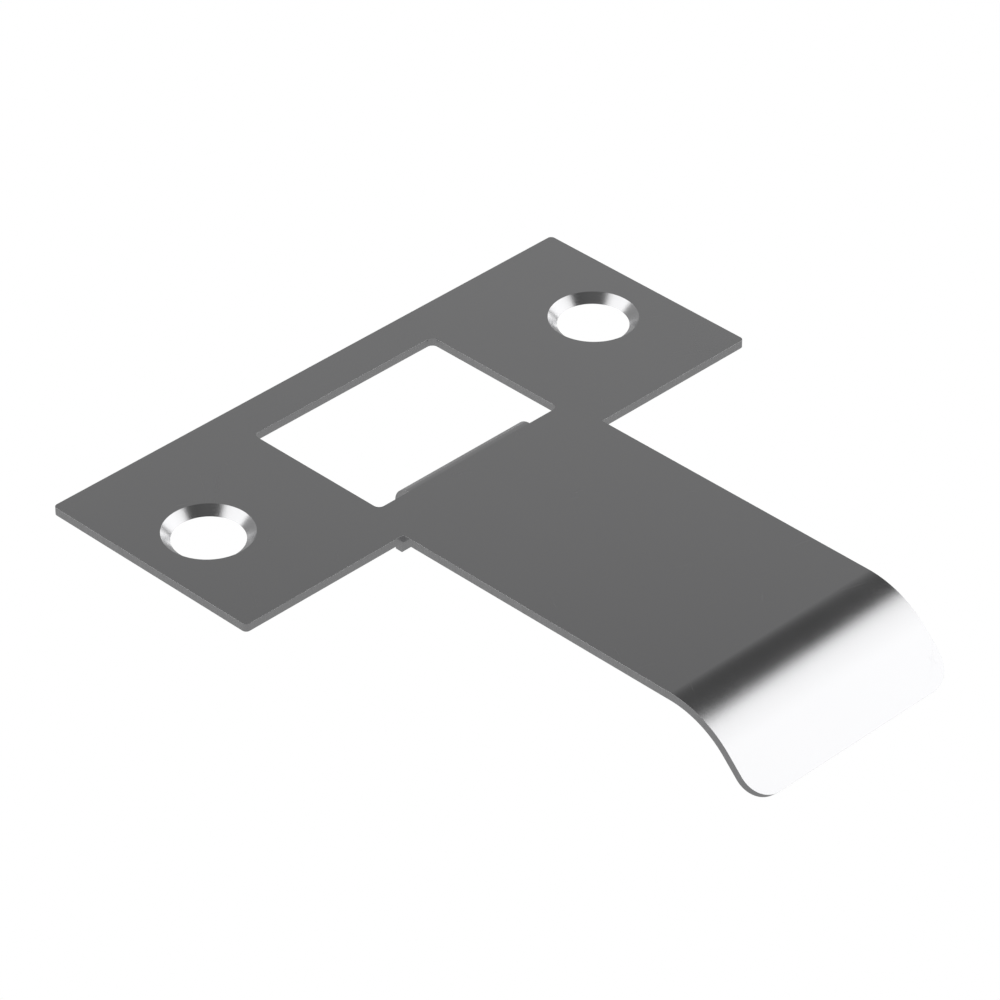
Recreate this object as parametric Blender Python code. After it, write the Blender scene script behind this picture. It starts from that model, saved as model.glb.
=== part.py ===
"""Extended-lip T-strike plate, pressed from one sheet of steel.

The plate lies flat with its outer face up (+Z) and its length along X. The lip leaves the plate
towards -Y and turns down at its end. The origin is the plate's centre on its back face, the face
that seats on the door frame. All sizes are in metres.
"""

import math

import bmesh
import bpy
from mathutils import Matrix, Vector

SHEET_THICKNESS = 0.0009

PLATE_LENGTH = 0.06985
PLATE_WIDTH = 0.0278
PLATE_CORNER_RADIUS = 0.0005

WINDOW_LENGTH = 0.0251
WINDOW_WIDTH = 0.01805
WINDOW_CORNER_RADIUS = 0.0007

SCREW_HOLE_SPACING = 0.053975
SCREW_HOLE_DIAMETER = 0.0075
COUNTERSINK_DIAMETER = 0.00945

LIP_WIDTH = 0.0279
LIP_FLAT_LENGTH = 0.0359
LIP_BEND_RADIUS = 0.0107
LIP_BEND_ANGLE = math.radians(45.5)
LIP_END_LENGTH = 0.00545
LIP_CORNER_RADIUS = 0.00305

FLANGE_WIDTH = 0.017
FLANGE_BEND_RADIUS = 0.0019
FLANGE_BEND_ANGLE = math.radians(90)
FLANGE_DEPTH = 0.00785
FLANGE_ROOT = 0.002

CORNER_STEPS = 12
LIP_BEND_STEPS = 20
FLANGE_BEND_STEPS = 14
HOLE_SEGMENTS = 72
CUT_MARGIN = 0.002
WELD_DISTANCE = 0.000001

STEEL_COLOUR = (0.56, 0.56, 0.57, 1.0)
STEEL_ROUGHNESS = 0.22

PART_NAME = "strike_plate"
PARTS_COLLECTION = "extended_lip_strike"
CUTTERS_COLLECTION = "cutters"


def clear_scene():
    for item in list(bpy.data.objects):
        bpy.data.objects.remove(item, do_unlink=True)


def new_collection(name):
    collection = bpy.data.collections.new(name)
    bpy.context.scene.collection.children.link(collection)
    return collection


def fillet(before, corner, after, radius):
    """Points of the arc that rounds one corner of an outline."""
    corner = Vector(corner)
    to_before = (Vector(before) - corner).normalized()
    to_after = (Vector(after) - corner).normalized()
    half_angle = to_before.angle(to_after) / 2
    centre = corner + (to_before + to_after).normalized() * radius / math.sin(half_angle)
    tangent_length = radius / math.tan(half_angle)
    start = corner + to_before * tangent_length - centre
    end = corner + to_after * tangent_length - centre
    return [
        centre + start.lerp(end, step / CORNER_STEPS).normalized() * radius
        for step in range(CORNER_STEPS + 1)
    ]


def rounded_outline(corners):
    """A closed outline from (x, y, radius) corners; a radius of 0 keeps the corner sharp."""
    points = []
    for index, (x, y, radius) in enumerate(corners):
        before = corners[index - 1][:2]
        after = corners[(index + 1) % len(corners)][:2]
        points += fillet(before, (x, y), after, radius) if radius else [Vector((x, y))]
    return points


def bent_section(flat_start, bend_start, outer_radius, angle, end_length, steps):
    """The side outline of a strip that runs flat, bends down, then runs straight.

    The first number of a point is its run along the strip, the second its height above the back
    face of the flat stretch.
    """
    centre = Vector((bend_start, SHEET_THICKNESS - outer_radius))
    spokes = [
        Vector((math.sin(angle * step / steps), math.cos(angle * step / steps)))
        for step in range(steps + 1)
    ]
    outer = [centre + spoke * outer_radius for spoke in spokes]
    inner = [centre + spoke * (outer_radius - SHEET_THICKNESS) for spoke in spokes]
    end_run = Vector((math.cos(angle), -math.sin(angle))) * end_length
    top = [Vector((flat_start, SHEET_THICKNESS))] + outer + [outer[-1] + end_run]
    back = [Vector((flat_start, 0))] + inner + [inner[-1] + end_run]
    return top + back[::-1]


def prism(name, loops, depth, frame, collection):
    """A solid whose flat outline lies in frame's XY plane, with depth shared by both sides."""
    curve = bpy.data.curves.new(name, "CURVE")
    curve.dimensions = "2D"
    curve.fill_mode = "BOTH"
    curve.extrude = depth / 2
    for loop in loops:
        spline = curve.splines.new("POLY")
        spline.points.add(len(loop) - 1)
        for point, (x, y) in zip(spline.points, loop):
            point.co = (x, y, 0, 1)
        spline.use_cyclic_u = True
    outline = bpy.data.objects.new(name + "_outline", curve)
    outline.matrix_world = frame
    collection.objects.link(outline)
    depsgraph = bpy.context.evaluated_depsgraph_get()
    mesh = bpy.data.meshes.new_from_object(outline.evaluated_get(depsgraph))
    mesh.name = name
    weld(mesh)
    solid = bpy.data.objects.new(name, mesh)
    solid.matrix_world = outline.matrix_world
    collection.objects.link(solid)
    bpy.data.objects.remove(outline, do_unlink=True)
    return solid


def weld(mesh):
    shape = bmesh.new()
    shape.from_mesh(mesh)
    bmesh.ops.remove_doubles(shape, verts=shape.verts, dist=WELD_DISTANCE)
    bmesh.ops.recalc_face_normals(shape, faces=shape.faces)
    shape.to_mesh(mesh)
    shape.free()


def side_frame(heading):
    """The plane of a side outline: run goes along Y in the heading's sense, height goes up."""
    run = Vector((0, heading, 0))
    height = Vector((0, 0, 1))
    return Matrix((run, height, run.cross(height))).transposed().to_4x4()


def combine(target, tool, operation):
    modifier = target.modifiers.new(operation.lower() + "_" + tool.name, "BOOLEAN")
    modifier.object = tool
    modifier.operation = operation
    modifier.solver = "EXACT"
    tool.hide_render = True
    tool.display_type = "WIRE"


def bent_sheet(parts):
    """Plate and lip as one bent sheet, still a plain strip that is larger than the plate."""
    section = bent_section(
        -PLATE_WIDTH / 2 - CUT_MARGIN,
        PLATE_WIDTH / 2 + LIP_FLAT_LENGTH,
        LIP_BEND_RADIUS,
        LIP_BEND_ANGLE,
        LIP_END_LENGTH,
        LIP_BEND_STEPS,
    )
    wide = PLATE_LENGTH + 2 * CUT_MARGIN
    return prism(PART_NAME, [section], wide, side_frame(-1), parts)


def flange_solid(cutters):
    """The short flange that turns straight down from the lip side of the window."""
    section = bent_section(
        -WINDOW_WIDTH / 2 - FLANGE_ROOT,
        -WINDOW_WIDTH / 2,
        FLANGE_BEND_RADIUS,
        FLANGE_BEND_ANGLE,
        FLANGE_DEPTH - FLANGE_BEND_RADIUS,
        FLANGE_BEND_STEPS,
    )
    return prism("flange", [section], FLANGE_WIDTH, side_frame(1), cutters)


def blank_outline(cutters):
    """The T-shaped plan of the blank with its window, as tall as the bent sheet is deep."""
    far = PLATE_WIDTH / 2 + 2 * LIP_FLAT_LENGTH
    half_plate = PLATE_LENGTH / 2
    half_lip = LIP_WIDTH / 2
    half_width = PLATE_WIDTH / 2
    tee = rounded_outline([
        (-half_plate, half_width, PLATE_CORNER_RADIUS),
        (-half_plate, -half_width, PLATE_CORNER_RADIUS),
        (-half_lip, -half_width, 0),
        (-half_lip, -far, 0),
        (half_lip, -far, 0),
        (half_lip, -half_width, 0),
        (half_plate, -half_width, PLATE_CORNER_RADIUS),
        (half_plate, half_width, PLATE_CORNER_RADIUS),
    ])
    half_x = WINDOW_LENGTH / 2
    half_y = WINDOW_WIDTH / 2
    window = rounded_outline([
        (half_x, half_y, WINDOW_CORNER_RADIUS),
        (half_x, -half_y, WINDOW_CORNER_RADIUS),
        (-half_x, -half_y, WINDOW_CORNER_RADIUS),
        (-half_x, half_y, WINDOW_CORNER_RADIUS),
    ])
    return prism("blank_outline", [tee, window], LIP_FLAT_LENGTH, Matrix(), cutters)


def lip_corner_cutter(side, cutters):
    """Removes the sharp corner at one side of the lip's end, square to the sloping end."""
    radius = LIP_CORNER_RADIUS
    outer_radius = LIP_BEND_RADIUS
    run = Vector((0, -math.cos(LIP_BEND_ANGLE), -math.sin(LIP_BEND_ANGLE)))
    across = Vector((side, 0, 0))
    bend_end = Vector((
        side * LIP_WIDTH / 2,
        -PLATE_WIDTH / 2 - LIP_FLAT_LENGTH - outer_radius * math.sin(LIP_BEND_ANGLE),
        SHEET_THICKNESS - outer_radius * (1 - math.cos(LIP_BEND_ANGLE)),
    ))
    corner = bend_end + run * LIP_END_LENGTH
    arc = fillet((-radius, 0), (0, 0), (0, -radius), radius)
    past = CUT_MARGIN
    outline = arc + [Vector((past, -radius)), Vector((past, past)), Vector((-radius, past))]
    frame = Matrix((across, run, across.cross(run))).transposed().to_4x4()
    frame.translation = corner
    return prism("lip_corner_cutter", [outline], 4 * CUT_MARGIN, frame, cutters)


def countersink_cutter(side, cutters):
    """A screw hole that is a cone through the full thickness of the sheet."""
    slope = (COUNTERSINK_DIAMETER - SCREW_HOLE_DIAMETER) / (2 * SHEET_THICKNESS)
    margin = SHEET_THICKNESS
    mesh = bpy.data.meshes.new("countersink_cutter")
    shape = bmesh.new()
    bmesh.ops.create_cone(
        shape,
        cap_ends=True,
        segments=HOLE_SEGMENTS,
        radius1=SCREW_HOLE_DIAMETER / 2 - margin * slope,
        radius2=COUNTERSINK_DIAMETER / 2 + margin * slope,
        depth=SHEET_THICKNESS + 2 * margin,
    )
    shape.to_mesh(mesh)
    shape.free()
    cutter = bpy.data.objects.new("countersink_cutter", mesh)
    cutter.location = (side * SCREW_HOLE_SPACING / 2, 0, SHEET_THICKNESS / 2)
    cutters.objects.link(cutter)
    return cutter


def steel():
    material = bpy.data.materials.new("satin_steel")
    material.use_nodes = True
    shader = material.node_tree.nodes["Principled BSDF"]
    shader.inputs["Base Color"].default_value = STEEL_COLOUR
    shader.inputs["Metallic"].default_value = 1.0
    shader.inputs["Roughness"].default_value = STEEL_ROUGHNESS
    return material


def strike_plate(parts, cutters):
    plate = bent_sheet(parts)
    for side in (-1, 1):
        combine(plate, countersink_cutter(side, cutters), "DIFFERENCE")
    combine(plate, blank_outline(cutters), "INTERSECT")
    for side in (-1, 1):
        combine(plate, lip_corner_cutter(side, cutters), "DIFFERENCE")
    combine(plate, flange_solid(cutters), "UNION")
    plate.data.materials.append(steel())
    return plate


clear_scene()
strike_plate(new_collection(PARTS_COLLECTION), new_collection(CUTTERS_COLLECTION))
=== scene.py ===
"""The finished look of an extended-lip T-strike plate: a pressed, satin stainless sheet.

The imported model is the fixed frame. The sheet here is made the way a press makes it: a flat blank
is cut out, its lip and its short flange are bent down, and its screw holes are countersunk. All
lengths are in metres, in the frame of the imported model: the outer face is up (+Z), the plate runs
along X and the lip leaves it towards -Y.
"""

import math

import bmesh
import bpy
from mathutils import Matrix, Quaternion, Vector


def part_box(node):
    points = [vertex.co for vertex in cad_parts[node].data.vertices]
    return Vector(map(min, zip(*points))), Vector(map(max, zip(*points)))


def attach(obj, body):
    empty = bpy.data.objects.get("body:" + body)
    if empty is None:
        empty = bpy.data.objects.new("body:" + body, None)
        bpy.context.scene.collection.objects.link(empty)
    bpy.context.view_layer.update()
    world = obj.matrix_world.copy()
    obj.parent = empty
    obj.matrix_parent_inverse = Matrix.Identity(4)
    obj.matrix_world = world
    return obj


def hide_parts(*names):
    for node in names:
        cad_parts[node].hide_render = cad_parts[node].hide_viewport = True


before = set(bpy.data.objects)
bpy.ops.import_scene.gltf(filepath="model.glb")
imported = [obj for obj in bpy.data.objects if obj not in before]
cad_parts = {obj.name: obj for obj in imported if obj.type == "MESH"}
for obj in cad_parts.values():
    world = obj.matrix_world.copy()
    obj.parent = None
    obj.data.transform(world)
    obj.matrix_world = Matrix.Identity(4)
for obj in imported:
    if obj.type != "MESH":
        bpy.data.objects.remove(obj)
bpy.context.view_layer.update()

NODE = "strike_plate"
PLATE_LOW, PLATE_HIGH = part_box(NODE)

# The sheet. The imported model's box gives the outer sizes: its origin is the plate's centre on the
# back face, so the top of the box is one sheet thickness up.
THICKNESS = PLATE_HIGH.z
HALF_LENGTH = PLATE_HIGH.x
HALF_WIDTH = PLATE_HIGH.y
FLANGE_DEPTH = PLATE_HIGH.z - PLATE_LOW.z
PLATE_CORNER_RADIUS = 0.0005

WINDOW_HALF_LENGTH = 0.01255
WINDOW_HALF_WIDTH = 0.009025
WINDOW_CORNER_RADIUS = 0.0007

HOLE_OFFSET = 0.0269875
HOLE_RADIUS = 0.00375
COUNTERSINK_RADIUS = 0.004725

LIP_HALF_WIDTH = 0.01395
LIP_BEND_START = HALF_WIDTH + 0.0359
LIP_BEND_RADIUS = 0.0107
LIP_BEND_ANGLE = math.radians(45.5)
LIP_END_LENGTH = 0.00545
LIP_CORNER_RADIUS = 0.00305

FLANGE_HALF_WIDTH = 0.0085
FLANGE_BEND_RADIUS = 0.0019
FLANGE_BEND_ANGLE = math.radians(90)
FLANGE_END_LENGTH = FLANGE_DEPTH - FLANGE_BEND_RADIUS

# How finely the sheet is made.
EDGE_ROUNDING = 0.000008
HOLE_ROUNDING = 0.000004
ROUNDING_SEGMENTS = 3
SHARP_ANGLE = math.radians(30)
FLAT_ANGLE = math.radians(0.2)
CELL_MARGIN = 0.0016
CORNER_STEPS = 16
HOLE_STEPS = 144
LIP_BEND_STEPS = 48
FLANGE_BEND_STEPS = 24
MICRON = 0.000001
MILLIMETRES = 1000.0

# The view: where the camera looks, and from where.
AIM = Vector((-0.002185, -0.015485, 0))
VIEW_DISTANCE = 0.54549
VIEW_AZIMUTH = math.radians(225 - 0.15)
VIEW_ELEVATION = math.radians(35.27)
VIEW_ROLL = math.radians(0.13)
LENS = 198.9

# The studio: a round white room that only the camera sees, and a grey surround and soft lights
# that only the steel sees.
ROOM_RADIUS = 3.0
FLOOR_DEPTH = 0.8
COVE_RADIUS = 1.2
COVE_STEPS = 16
ROOM_SIDES = 64
LIGHT_DISTANCE = 6.0

# The surround's brightness at some elevations, in degrees, from straight down to straight up.
SURROUND = [
    (-90, 0.335),
    (-20, 0.34),
    (4, 0.335),
    (18, 0.265),
    (31, 0.348),
    (36.5, 0.28),
    (42, 0.060),
    (57, 0.088),
    (66, 0.185),
    (90, 0.25),
]

# Each light's azimuth and elevation as seen from the plate, the width and the height that it
# fills there, all in degrees, and its radiance.
LIGHTS = {
    "softbox_right": (-31, 19.6, 50, 69.8, 1.475),
    "softbox_right_top": (-33, 46.5, 56, 16, 0.14),
    "softbox_left": (148.5, 22.4, 51.8, 72.4, 1.50),
    "softbox_left_top": (152, 50.5, 52, 17, 0.17),
    "softbox_left_wing": (110, 42, 13, 18, 0.95),
    "low_reflector": (11.5, 1, 43, 19, 1.52),
    "back_panel": (83, 4, 56, 40, 0.10),
}

# The steel. A scale says how many of a pattern's features lie in a millimetre: along each axis of
# the flat blank for the sheet's own patterns, and of the finished plate for the others. A tint
# multiplies the colour, a blur is added to the roughness, and depths are in metres.
STEEL = (0.565, 0.565, 0.572, 1.0)
NOISE_RANGE = (0.3, 0.7)

GRAIN_SCALE = (14.0, 0.5)
GRAIN_SWING = (-0.5, 0.5)
PORE_SCALE = (9.0, 9.0)
PORE_SWING = (-0.3, 0.3)
FINE_TINT = 0.012
FINE_BLUR = 0.02
FINE_RELIEF = 0.5
CLOUD_SCALE = (0.09, 0.05)
CLOUD_TINT = (0.99, 1.01)
SHEET_ROUGHNESS = (0.20, 0.23)
SHEET_DEPTH = 0.0000004

# Each set of hairline scratches has an angle in radians, a spacing in millimetres and a seed.
HAIRLINES = ((0.35, 1.7, 1), (-0.9, 2.3, 2))
HAIRLINE_STRETCH = 0.06
HAIRLINE_WIDTH = 0.004
HAIRLINE_TINT = 0.03
HAIRLINE_BLUR = 0.06
PATCH_SCALE = (0.09, 0.35, 1)
PATCH_RIM = (0.56, 0.64)

STREAK_SCALE = (9.0, 9.0, 0.5)
STREAK_TINT = (0.985, 1.015)
STREAK_DEPTH = 0.0000003
EDGE_ROUGHNESS = (0.22, 0.32)
WEAR_SCALE = (1.2, 1.2, 1.2)
WEAR_BLUR = (-0.03, 0.03)

RING_SCALE = 22.0
RING_TINT = (0.985, 1.015)
RING_DEPTH = 0.0000003
COUNTERSINK_ROUGHNESS = (0.215, 0.25)
SMUDGE_SCALE = (0.9, 0.9, 0.9)
SMUDGE_BLUR = (-0.01, 0.01)


# ---------------------------------------------------------------------------------------------
# Blank


def fillet(before, corner, after, radius):
    """Points of the arc that rounds one corner of an outline."""
    corner = Vector(corner)
    to_before = (Vector(before) - corner).normalized()
    to_after = (Vector(after) - corner).normalized()
    half_angle = to_before.angle(to_after) / 2
    centre = corner + (to_before + to_after).normalized() * radius / math.sin(half_angle)
    start = (corner - centre + to_before * radius / math.tan(half_angle)).normalized()
    end = (corner - centre + to_after * radius / math.tan(half_angle)).normalized()
    return [
        centre + start.slerp(end, step / CORNER_STEPS) * radius
        for step in range(CORNER_STEPS + 1)
    ]


def rounded_outline(corners):
    """A closed outline from (x, y, radius) corners; a radius of 0 keeps the corner sharp."""
    points = []
    for index, (x, y, radius) in enumerate(corners):
        before = corners[index - 1][:2]
        after = corners[(index + 1) % len(corners)][:2]
        points += fillet(before, (x, y), after, radius) if radius else [Vector((x, y))]
    return points


def mirrored(right_side):
    """A closed outline from the corners of its right half, given from top to bottom."""
    return right_side + [(-x, y, radius) for x, y, radius in reversed(right_side)]


def neutral_radius(outer_radius):
    return outer_radius - THICKNESS / 2


def plate_outline():
    """The T of the blank, with the lip laid out flat."""
    bend_length = neutral_radius(LIP_BEND_RADIUS) * LIP_BEND_ANGLE
    tip = LIP_BEND_START + bend_length + LIP_END_LENGTH
    return rounded_outline(mirrored([
        (HALF_LENGTH, HALF_WIDTH, PLATE_CORNER_RADIUS),
        (HALF_LENGTH, -HALF_WIDTH, PLATE_CORNER_RADIUS),
        (LIP_HALF_WIDTH, -HALF_WIDTH, 0),
        (LIP_HALF_WIDTH, -tip, LIP_CORNER_RADIUS),
    ]))


def window_outline():
    """The latch window, with the flange laid out flat as a tongue in it."""
    bend_length = neutral_radius(FLANGE_BEND_RADIUS) * FLANGE_BEND_ANGLE
    tongue_end = bend_length + FLANGE_END_LENGTH - WINDOW_HALF_WIDTH
    return rounded_outline(mirrored([
        (WINDOW_HALF_LENGTH, WINDOW_HALF_WIDTH, WINDOW_CORNER_RADIUS),
        (WINDOW_HALF_LENGTH, -WINDOW_HALF_WIDTH, WINDOW_CORNER_RADIUS),
        (FLANGE_HALF_WIDTH, -WINDOW_HALF_WIDTH, 0),
        (FLANGE_HALF_WIDTH, tongue_end, 0),
    ]))


def hole_outline(side):
    turns = [2 * math.pi * step / HOLE_STEPS for step in range(HOLE_STEPS)]
    centre = Vector((side * HOLE_OFFSET, 0))
    return [centre + Vector((math.cos(turn), math.sin(turn))) * COUNTERSINK_RADIUS for turn in turns]


def flat_blank():
    """The cut blank as a welded mesh, from a filled curve of all its outlines."""
    curve = bpy.data.curves.new("blank", "CURVE")
    curve.dimensions = "2D"
    curve.fill_mode = "BOTH"
    curve.extrude = THICKNESS / 2
    for outline in (plate_outline(), window_outline(), hole_outline(-1), hole_outline(1)):
        spline = curve.splines.new("POLY")
        spline.points.add(len(outline) - 1)
        for point, (x, y) in zip(spline.points, outline):
            point.co = (x, y, 0, 1)
        spline.use_cyclic_u = True
    drawing = bpy.data.objects.new("blank", curve)
    bpy.context.scene.collection.objects.link(drawing)
    evaluated = drawing.evaluated_get(bpy.context.evaluated_depsgraph_get())
    mesh = bpy.data.meshes.new_from_object(evaluated)
    bpy.data.objects.remove(drawing, do_unlink=True)
    mesh.materials.clear()
    shape = bmesh.new()
    shape.from_mesh(mesh)
    bpy.data.meshes.remove(mesh)
    bmesh.ops.remove_doubles(shape, verts=shape.verts, dist=MICRON)
    bmesh.ops.translate(shape, verts=shape.verts, vec=(0, 0, THICKNESS / 2))
    bmesh.ops.recalc_face_normals(shape, faces=shape.faces)
    return shape


# ---------------------------------------------------------------------------------------------
# Press work

SHEET_FACE, CUT_EDGE, COUNTERSINK = range(3)


def mark_faces(shape):
    """Gives each face its finish, while the blank is still flat and easy to read."""
    for face in shape.faces:
        centre = face.calc_center_median()
        in_hole = math.hypot(abs(centre.x) - HOLE_OFFSET, centre.y) < COUNTERSINK_RADIUS + MICRON
        if abs(face.normal.z) > 0.5:
            face.material_index = SHEET_FACE
        else:
            face.material_index = COUNTERSINK if in_hole else CUT_EDGE


def keep_flat_layout(shape):
    """Stores each corner's place on the flat blank, in millimetres, for the rolled grain."""
    layout = shape.loops.layers.uv.new("flat_layout")
    for face in shape.faces:
        for loop in face.loops:
            loop[layout].uv = loop.vert.co.xy * MILLIMETRES


def on_lip(point):
    return point.y < -LIP_BEND_START + MICRON


def on_flange(point):
    in_tongue = abs(point.x) < FLANGE_HALF_WIDTH + MICRON
    return in_tongue and -WINDOW_HALF_WIDTH - MICRON < point.y < WINDOW_HALF_WIDTH - MICRON


def slice_through(shape, faces, point, normal):
    """Cuts some faces along a plane, and keeps the cut as a seam between cells."""
    edges = {edge for face in faces for edge in face.edges}
    verts = {vert for face in faces for vert in face.verts}
    made = bmesh.ops.bisect_plane(
        shape,
        geom=[*faces, *edges, *verts],
        plane_co=point,
        plane_no=normal,
        dist=MICRON / 10,
    )
    for item in made["geom_cut"]:
        if isinstance(item, bmesh.types.BMEdge):
            item.seam = True


def slice_bend(shape, start, heading, outer_radius, angle, steps, inside):
    """Cuts the faces across a bend into narrow strips, so that the bend comes out round."""
    for step in range(steps + 1):
        run = neutral_radius(outer_radius) * angle * step / steps
        faces = [
            face for face in shape.faces if step == 0 or all(inside(v.co) for v in face.verts)
        ]
        slice_through(shape, faces, Vector((0, start + heading * run, 0)), Vector((0, 1, 0)))


def cut_cells(shape):
    """Cuts the blank along its construction lines, so that its flats are a few plain cells."""
    past_hole = COUNTERSINK_RADIUS + CELL_MARGIN
    columns = [0, FLANGE_HALF_WIDTH, LIP_HALF_WIDTH]
    columns += [HOLE_OFFSET - past_hole, HOLE_OFFSET, HOLE_OFFSET + past_hole]
    rows = [0, past_hole, -past_hole, WINDOW_HALF_WIDTH, -WINDOW_HALF_WIDTH]
    rows += [CELL_MARGIN - HALF_WIDTH, -HALF_WIDTH - CELL_MARGIN]
    lines = [(Vector((x, 0, 0)), Vector((1, 0, 0))) for x in {*columns, *(-x for x in columns)}]
    lines += [(Vector((0, y, 0)), Vector((0, 1, 0))) for y in rows]
    for point, normal in lines:
        slice_through(shape, shape.faces, point, normal)


def bend(shape, start, heading, outer_radius, angle, inside):
    """Bends the stretch of the blank past start down about an axis along X."""
    neutral = neutral_radius(outer_radius)
    for vert in [vert for vert in shape.verts if inside(vert.co)]:
        run = max(0, (vert.co.y - start) * heading)
        turned = min(run / neutral, angle)
        past = run - neutral * turned
        radius = outer_radius - THICKNESS + vert.co.z
        ahead = radius * math.sin(turned) + past * math.cos(turned)
        vert.co.y = start + heading * ahead
        vert.co.z = THICKNESS - outer_radius + radius * math.cos(turned) - past * math.sin(turned)


def countersink(shape):
    """Draws the back rim of each screw hole in, so that its wall becomes a cone."""
    for vert in shape.verts:
        centre = Vector((math.copysign(HOLE_OFFSET, vert.co.x), 0))
        from_centre = vert.co.xy - centre
        if vert.co.z < THICKNESS / 2 and abs(from_centre.length - COUNTERSINK_RADIUS) < MICRON:
            vert.co.xy = centre + from_centre * HOLE_RADIUS / COUNTERSINK_RADIUS


def weigh_edges(shape):
    """Sets how much each sharp edge is rounded, least at the screw holes, and clears the seams."""
    weight = shape.edges.layers.float.new("bevel_weight_edge")
    for edge in shape.edges:
        if edge.calc_face_angle() > SHARP_ANGLE:
            at_hole = any(face.material_index == COUNTERSINK for face in edge.link_faces)
            edge[weight] = HOLE_ROUNDING / EDGE_ROUNDING if at_hole else 1
        edge.seam = False


def pressed_sheet():
    """The finished sheet as one closed mesh with rounded edges."""
    shape = flat_blank()
    mark_faces(shape)
    cut_cells(shape)
    lip = (-LIP_BEND_START, -1, LIP_BEND_RADIUS, LIP_BEND_ANGLE)
    flange = (-WINDOW_HALF_WIDTH, 1, FLANGE_BEND_RADIUS, FLANGE_BEND_ANGLE)
    slice_bend(shape, *lip, LIP_BEND_STEPS, on_lip)
    slice_bend(shape, *flange, FLANGE_BEND_STEPS, on_flange)
    keep_flat_layout(shape)
    bmesh.ops.dissolve_degenerate(shape, edges=shape.edges, dist=MICRON)
    bmesh.ops.dissolve_limit(
        shape,
        angle_limit=FLAT_ANGLE,
        verts=shape.verts,
        edges=shape.edges,
        delimit={"MATERIAL", "SEAM"},
    )
    bend(shape, *lip, on_lip)
    bend(shape, *flange, on_flange)
    countersink(shape)
    weigh_edges(shape)
    return with_rounded_edges(shape)


def with_rounded_edges(shape):
    """An object of the shape with its sharp edges rounded and its flats shaded flat.

    It is worked out in millimetres, because the modifier leaves faces as small as these
    unweighted when they are in metres.
    """
    bmesh.ops.scale(shape, verts=shape.verts, vec=Vector.Fill(3, MILLIMETRES))
    sharp = bpy.data.meshes.new("sharp_sheet")
    shape.to_mesh(sharp)
    shape.free()
    sharp.shade_smooth()
    piece = bpy.data.objects.new("pressed_sheet", sharp)
    bpy.context.scene.collection.objects.link(piece)
    rounding = piece.modifiers.new("edge_rounding", "BEVEL")
    rounding.width = EDGE_ROUNDING * MILLIMETRES
    rounding.segments = ROUNDING_SEGMENTS
    rounding.limit_method = "WEIGHT"
    rounding.use_clamp_overlap = False
    rounding.loop_slide = False
    piece.modifiers.new("flat_faces", "WEIGHTED_NORMAL")
    rounded = piece.evaluated_get(bpy.context.evaluated_depsgraph_get())
    mesh = bpy.data.meshes.new_from_object(rounded)
    mesh.transform(Matrix.Scale(1 / MILLIMETRES, 4))
    mesh.name = "pressed_sheet"
    piece.modifiers.clear()
    piece.data = mesh
    bpy.data.meshes.remove(sharp)
    return piece


# ---------------------------------------------------------------------------------------------
# Steel


class Steel:
    """A steel material's node tree, with short helpers to add to it.

    The patterns' nodes take over its plain colour and roughness.
    """

    def __init__(self, name, roughness):
        self.material = bpy.data.materials.new(name)
        self.material.use_nodes = True
        self.tree = self.material.node_tree
        self.shader = self.tree.nodes["Principled BSDF"]
        self.shader.inputs["Base Color"].default_value = STEEL
        self.shader.inputs["Metallic"].default_value = 1.0
        self.shader.inputs["Roughness"].default_value = roughness

    def node(self, kind, **settings):
        made = self.tree.nodes.new(kind)
        for name, value in settings.items():
            setattr(made, name, value)
        return made

    def link(self, source, target):
        self.tree.links.new(source, target)

    def math(self, operation, *values):
        node = self.node("ShaderNodeMath", operation=operation)
        for socket, value in zip(node.inputs, values):
            if isinstance(value, (int, float)):
                socket.default_value = value
            else:
                self.link(value, socket)
        return node.outputs[0]

    def layout(self, scale):
        """The place on the flat blank in millimetres, scaled along its length and across it."""
        source = self.node("ShaderNodeUVMap", uv_map="flat_layout").outputs["UV"]
        return self.scaled(source, (*scale, 1))

    def place(self, scale):
        """The place on the object in millimetres, scaled along each axis."""
        source = self.node("ShaderNodeTexCoord").outputs["Object"]
        return self.scaled(source, Vector(scale) * MILLIMETRES)

    def scaled(self, source, scale):
        node = self.node("ShaderNodeVectorMath", operation="MULTIPLY")
        node.inputs[1].default_value = scale
        self.link(source, node.inputs[0])
        return node.outputs[0]

    def noise(self, place, detail=2.0, roughness=0.5, distortion=0.0):
        node = self.node("ShaderNodeTexNoise")
        node.inputs["Scale"].default_value = 1.0
        node.inputs["Detail"].default_value = detail
        node.inputs["Roughness"].default_value = roughness
        node.inputs["Distortion"].default_value = distortion
        self.link(place, node.inputs["Vector"])
        return node.outputs["Fac"]

    def remap(self, value, low, high, to_low, to_high):
        """The value, moved from one range to another and held inside it."""
        node = self.node("ShaderNodeMapRange")
        node.inputs["From Min"].default_value = low
        node.inputs["From Max"].default_value = high
        node.inputs["To Min"].default_value = to_low
        node.inputs["To Max"].default_value = to_high
        self.link(value, node.inputs["Value"])
        return node.outputs["Result"]

    def spread(self, noise, limits):
        """A noise, moved from the range that it mostly fills to some limits."""
        return self.remap(noise, *NOISE_RANGE, *limits)

    def tint(self, brightness):
        """Multiplies the steel's colour by a brightness that varies over the surface."""
        node = self.node("ShaderNodeVectorMath", operation="SCALE")
        node.inputs[0].default_value = STEEL[:3]
        self.link(brightness, node.inputs["Scale"])
        self.link(node.outputs[0], self.shader.inputs["Base Color"])

    def rough(self, value):
        self.link(value, self.shader.inputs["Roughness"])

    def bump(self, height, depth):
        """Raises the surface by a height of about 0 to 1, times a depth in metres."""
        node = self.node("ShaderNodeBump")
        node.inputs["Strength"].default_value = 1.0
        node.inputs["Distance"].default_value = depth
        self.link(height, node.inputs["Height"])
        self.link(node.outputs[0], self.shader.inputs["Normal"])


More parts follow.
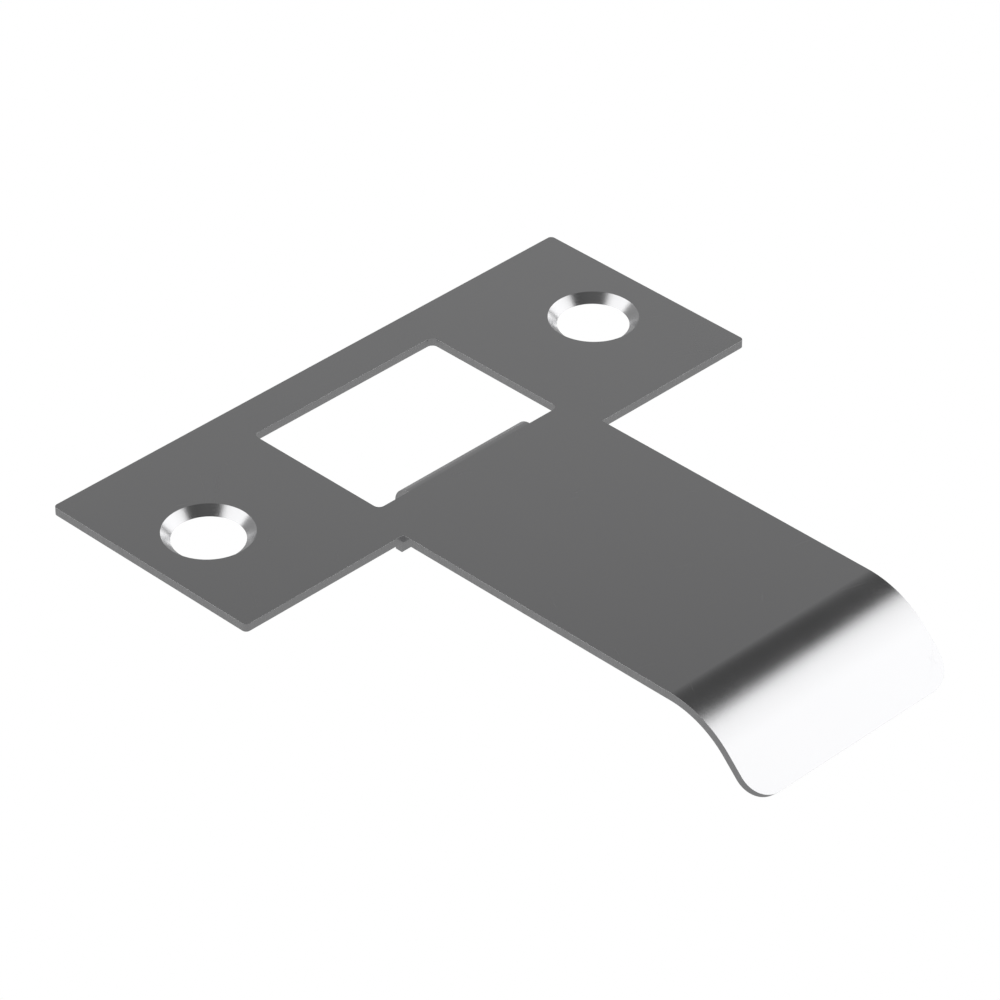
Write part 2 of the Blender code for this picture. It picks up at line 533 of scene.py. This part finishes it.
def scratches(steel, angle, spacing, seed):
    """A mask of sparse hairline scratches on the sheet, at an angle to its length."""
    turned = steel.node("ShaderNodeVectorRotate", rotation_type="Z_AXIS")
    turned.inputs["Angle"].default_value = angle
    steel.link(steel.layout((1, 1)), turned.inputs["Vector"])
    moved = steel.node("ShaderNodeVectorMath", operation="ADD")
    moved.inputs[1].default_value = (seed * 7.3, seed * 3.1, seed)
    steel.link(turned.outputs[0], moved.inputs[0])
    stretched = steel.scaled(moved.outputs[0], (HAIRLINE_STRETCH, 1 / spacing, 1))
    waves = steel.noise(stretched, detail=0.0, distortion=0.05)
    from_line = steel.math("ABSOLUTE", steel.math("SUBTRACT", waves, 0.5))
    hairline = steel.remap(from_line, 0, HAIRLINE_WIDTH, 1, 0)
    patches = steel.noise(steel.scaled(moved.outputs[0], PATCH_SCALE), detail=1.0)
    return steel.math("MULTIPLY", hairline, steel.remap(patches, *PATCH_RIM, 0, 1))


def sheet_finish():
    """The rolled faces: a fine grain, faint clouding, pores and a few hairlines."""
    steel = Steel("satin_sheet", 0.215)
    grain = steel.noise(steel.layout(GRAIN_SCALE), detail=3.0, roughness=0.6)
    cloud = steel.noise(steel.layout(CLOUD_SCALE), detail=3.0, roughness=0.55)
    pores = steel.noise(steel.layout(PORE_SCALE), detail=2.0, roughness=0.6)
    marks = steel.math("MAXIMUM", *(scratches(steel, *hairlines) for hairlines in HAIRLINES))
    fine = steel.math("ADD", steel.spread(grain, GRAIN_SWING), steel.spread(pores, PORE_SWING))

    fine_tint = steel.math("MULTIPLY", fine, FINE_TINT)
    shade = steel.math("ADD", fine_tint, steel.spread(cloud, CLOUD_TINT))
    steel.tint(steel.math("ADD", shade, steel.math("MULTIPLY", marks, HAIRLINE_TINT)))

    fine_blur = steel.math("MULTIPLY", fine, FINE_BLUR)
    blur = steel.math("ADD", fine_blur, steel.spread(cloud, SHEET_ROUGHNESS))
    steel.rough(steel.math("ADD", blur, steel.math("MULTIPLY", marks, HAIRLINE_BLUR)))

    relief = steel.math("SUBTRACT", steel.math("MULTIPLY", fine, FINE_RELIEF), marks)
    steel.bump(relief, SHEET_DEPTH)
    return steel.material


def edge_finish():
    """The sheared edges: fine striations across the thickness, a little worn."""
    steel = Steel("sheared_edge", 0.28)
    streaks = steel.noise(steel.place(STREAK_SCALE), detail=2.0, roughness=0.6)
    worn = steel.noise(steel.place(WEAR_SCALE))
    steel.tint(steel.spread(streaks, STREAK_TINT))
    blur = steel.spread(streaks, EDGE_ROUGHNESS)
    steel.rough(steel.math("ADD", blur, steel.spread(worn, WEAR_BLUR)))
    steel.bump(streaks, STREAK_DEPTH)
    return steel.material


def countersink_finish():
    """The countersinks: fine rings that the cutter turned, round each hole's axis."""
    steel = Steel("turned_countersink", 0.2)
    position = steel.node("ShaderNodeSeparateXYZ")
    steel.link(steel.place((1, 1, 1)), position.inputs[0])
    to_side = steel.math("ABSOLUTE", position.outputs["X"])
    along = steel.math("SUBTRACT", to_side, HOLE_OFFSET * MILLIMETRES)
    squares = (steel.math("POWER", length, 2) for length in (along, position.outputs["Y"]))
    radius = steel.math("SQRT", steel.math("ADD", *squares))
    ring = steel.node("ShaderNodeCombineXYZ")
    steel.link(steel.math("MULTIPLY", radius, RING_SCALE), ring.inputs["X"])
    rings = steel.noise(ring.outputs[0], detail=2.0, roughness=0.6)
    smudge = steel.noise(steel.place(SMUDGE_SCALE), detail=1.0)
    steel.tint(steel.spread(rings, RING_TINT))
    blur = steel.spread(rings, COUNTERSINK_ROUGHNESS)
    steel.rough(steel.math("ADD", blur, steel.spread(smudge, SMUDGE_BLUR)))
    steel.bump(rings, RING_DEPTH)
    return steel.material


# ---------------------------------------------------------------------------------------------
# Studio


def direction(azimuth, elevation):
    """The unit vector towards an azimuth, from +X towards +Y, and an elevation, in radians."""
    flat = math.cos(elevation)
    return Vector((flat * math.cos(azimuth), flat * math.sin(azimuth), math.sin(elevation)))


def camera():
    back = direction(VIEW_AZIMUTH, VIEW_ELEVATION)
    data = bpy.data.cameras.new("camera")
    data.lens = LENS
    made = bpy.data.objects.new("camera", data)
    made.location = AIM + back * VIEW_DISTANCE
    made.rotation_mode = "QUATERNION"
    roll = Quaternion((0, 0, 1), VIEW_ROLL)
    made.rotation_quaternion = (-back).to_track_quat("-Z", "Y") @ roll
    bpy.context.scene.collection.objects.link(made)
    bpy.context.scene.camera = made


def softbox(name, azimuth, elevation, width, height, radiance):
    """A large soft light that faces the plate; width and height are the angles it fills."""
    data = bpy.data.lights.new(name, "AREA")
    data.shape = "RECTANGLE"
    data.size = 2 * LIGHT_DISTANCE * math.tan(math.radians(width) / 2)
    data.size_y = 2 * LIGHT_DISTANCE * math.tan(math.radians(height) / 2)
    data.energy = radiance * math.pi * data.size * data.size_y
    made = bpy.data.objects.new(name, data)
    towards = direction(math.radians(azimuth), math.radians(elevation))
    made.location = towards * LIGHT_DISTANCE
    made.rotation_mode = "QUATERNION"
    made.rotation_quaternion = towards.to_track_quat("Z", "Y")
    made.visible_camera = False
    bpy.context.scene.collection.objects.link(made)


def studio_surround():
    """The soft grey surround that the steel mirrors: pale low down and darkest halfway up."""
    world = bpy.data.worlds.new("studio")
    world.use_nodes = True
    tree = world.node_tree
    where = tree.nodes.new("ShaderNodeTexCoord")
    parts = tree.nodes.new("ShaderNodeSeparateXYZ")
    ramp = tree.nodes.new("ShaderNodeValToRGB")
    height = tree.nodes.new("ShaderNodeMapRange")
    height.inputs["From Min"].default_value = -1.0
    tree.links.new(where.outputs["Generated"], parts.inputs[0])
    tree.links.new(parts.outputs["Z"], height.inputs["Value"])
    tree.links.new(height.outputs["Result"], ramp.inputs["Fac"])
    tree.links.new(ramp.outputs["Color"], tree.nodes["Background"].inputs["Color"])
    elements = ramp.color_ramp.elements
    while len(elements) < len(SURROUND):
        elements.new(0.5)
    for element, (elevation, grey) in zip(elements, SURROUND):
        element.position = (math.sin(math.radians(elevation)) + 1) / 2
        element.color = (grey, grey, grey, 1)
    bpy.context.scene.world = world


def white_room():
    """The plain floor, which sweeps up into the walls and closes overhead.

    It glows evenly, so that it is white all over, and only the camera sees it.
    """
    arc = [math.pi / 2 * step / COVE_STEPS for step in range(COVE_STEPS + 1)]
    flat = ROOM_RADIUS - COVE_RADIUS
    wall_foot = COVE_RADIUS - FLOOR_DEPTH
    cove = [(flat + COVE_RADIUS * math.sin(a), wall_foot - COVE_RADIUS * math.cos(a)) for a in arc]
    dome = [(ROOM_RADIUS * math.cos(a), wall_foot + ROOM_RADIUS * math.sin(a)) for a in arc[1:]]
    shape = bmesh.new()
    verts = [shape.verts.new((x, 0, z)) for x, z in [(0, -FLOOR_DEPTH), *cove, *dome]]
    edges = [shape.edges.new(pair) for pair in zip(verts, verts[1:])]
    bmesh.ops.spin(
        shape,
        geom=[*verts, *edges],
        cent=(0, 0, 0),
        axis=(0, 0, 1),
        angle=2 * math.pi,
        steps=ROOM_SIDES,
        use_merge=True,
    )
    bmesh.ops.remove_doubles(shape, verts=shape.verts, dist=MICRON)
    mesh = bpy.data.meshes.new("floor")
    shape.to_mesh(mesh)
    shape.free()
    mesh.shade_smooth()
    paint = bpy.data.materials.new("white_floor")
    paint.use_nodes = True
    shader = paint.node_tree.nodes["Principled BSDF"]
    shader.inputs["Base Color"].default_value = (0, 0, 0, 1)
    shader.inputs["Specular IOR Level"].default_value = 0
    shader.inputs["Emission Color"].default_value = (1, 1, 1, 1)
    shader.inputs["Emission Strength"].default_value = 1.0
    mesh.materials.append(paint)
    room = bpy.data.objects.new("floor", mesh)
    room.visible_glossy = False
    room.visible_diffuse = False
    room.visible_shadow = False
    bpy.context.scene.collection.objects.link(room)


# ---------------------------------------------------------------------------------------------
# The plate in its studio

camera()
sheet = pressed_sheet()
for finish in (sheet_finish(), edge_finish(), countersink_finish()):
    sheet.data.materials.append(finish)
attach(sheet, "root")
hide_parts(NODE)

studio_surround()
white_room()
for name, settings in LIGHTS.items():
    softbox(name, *settings)
bpy.context.scene.view_settings.view_transform = "Standard"
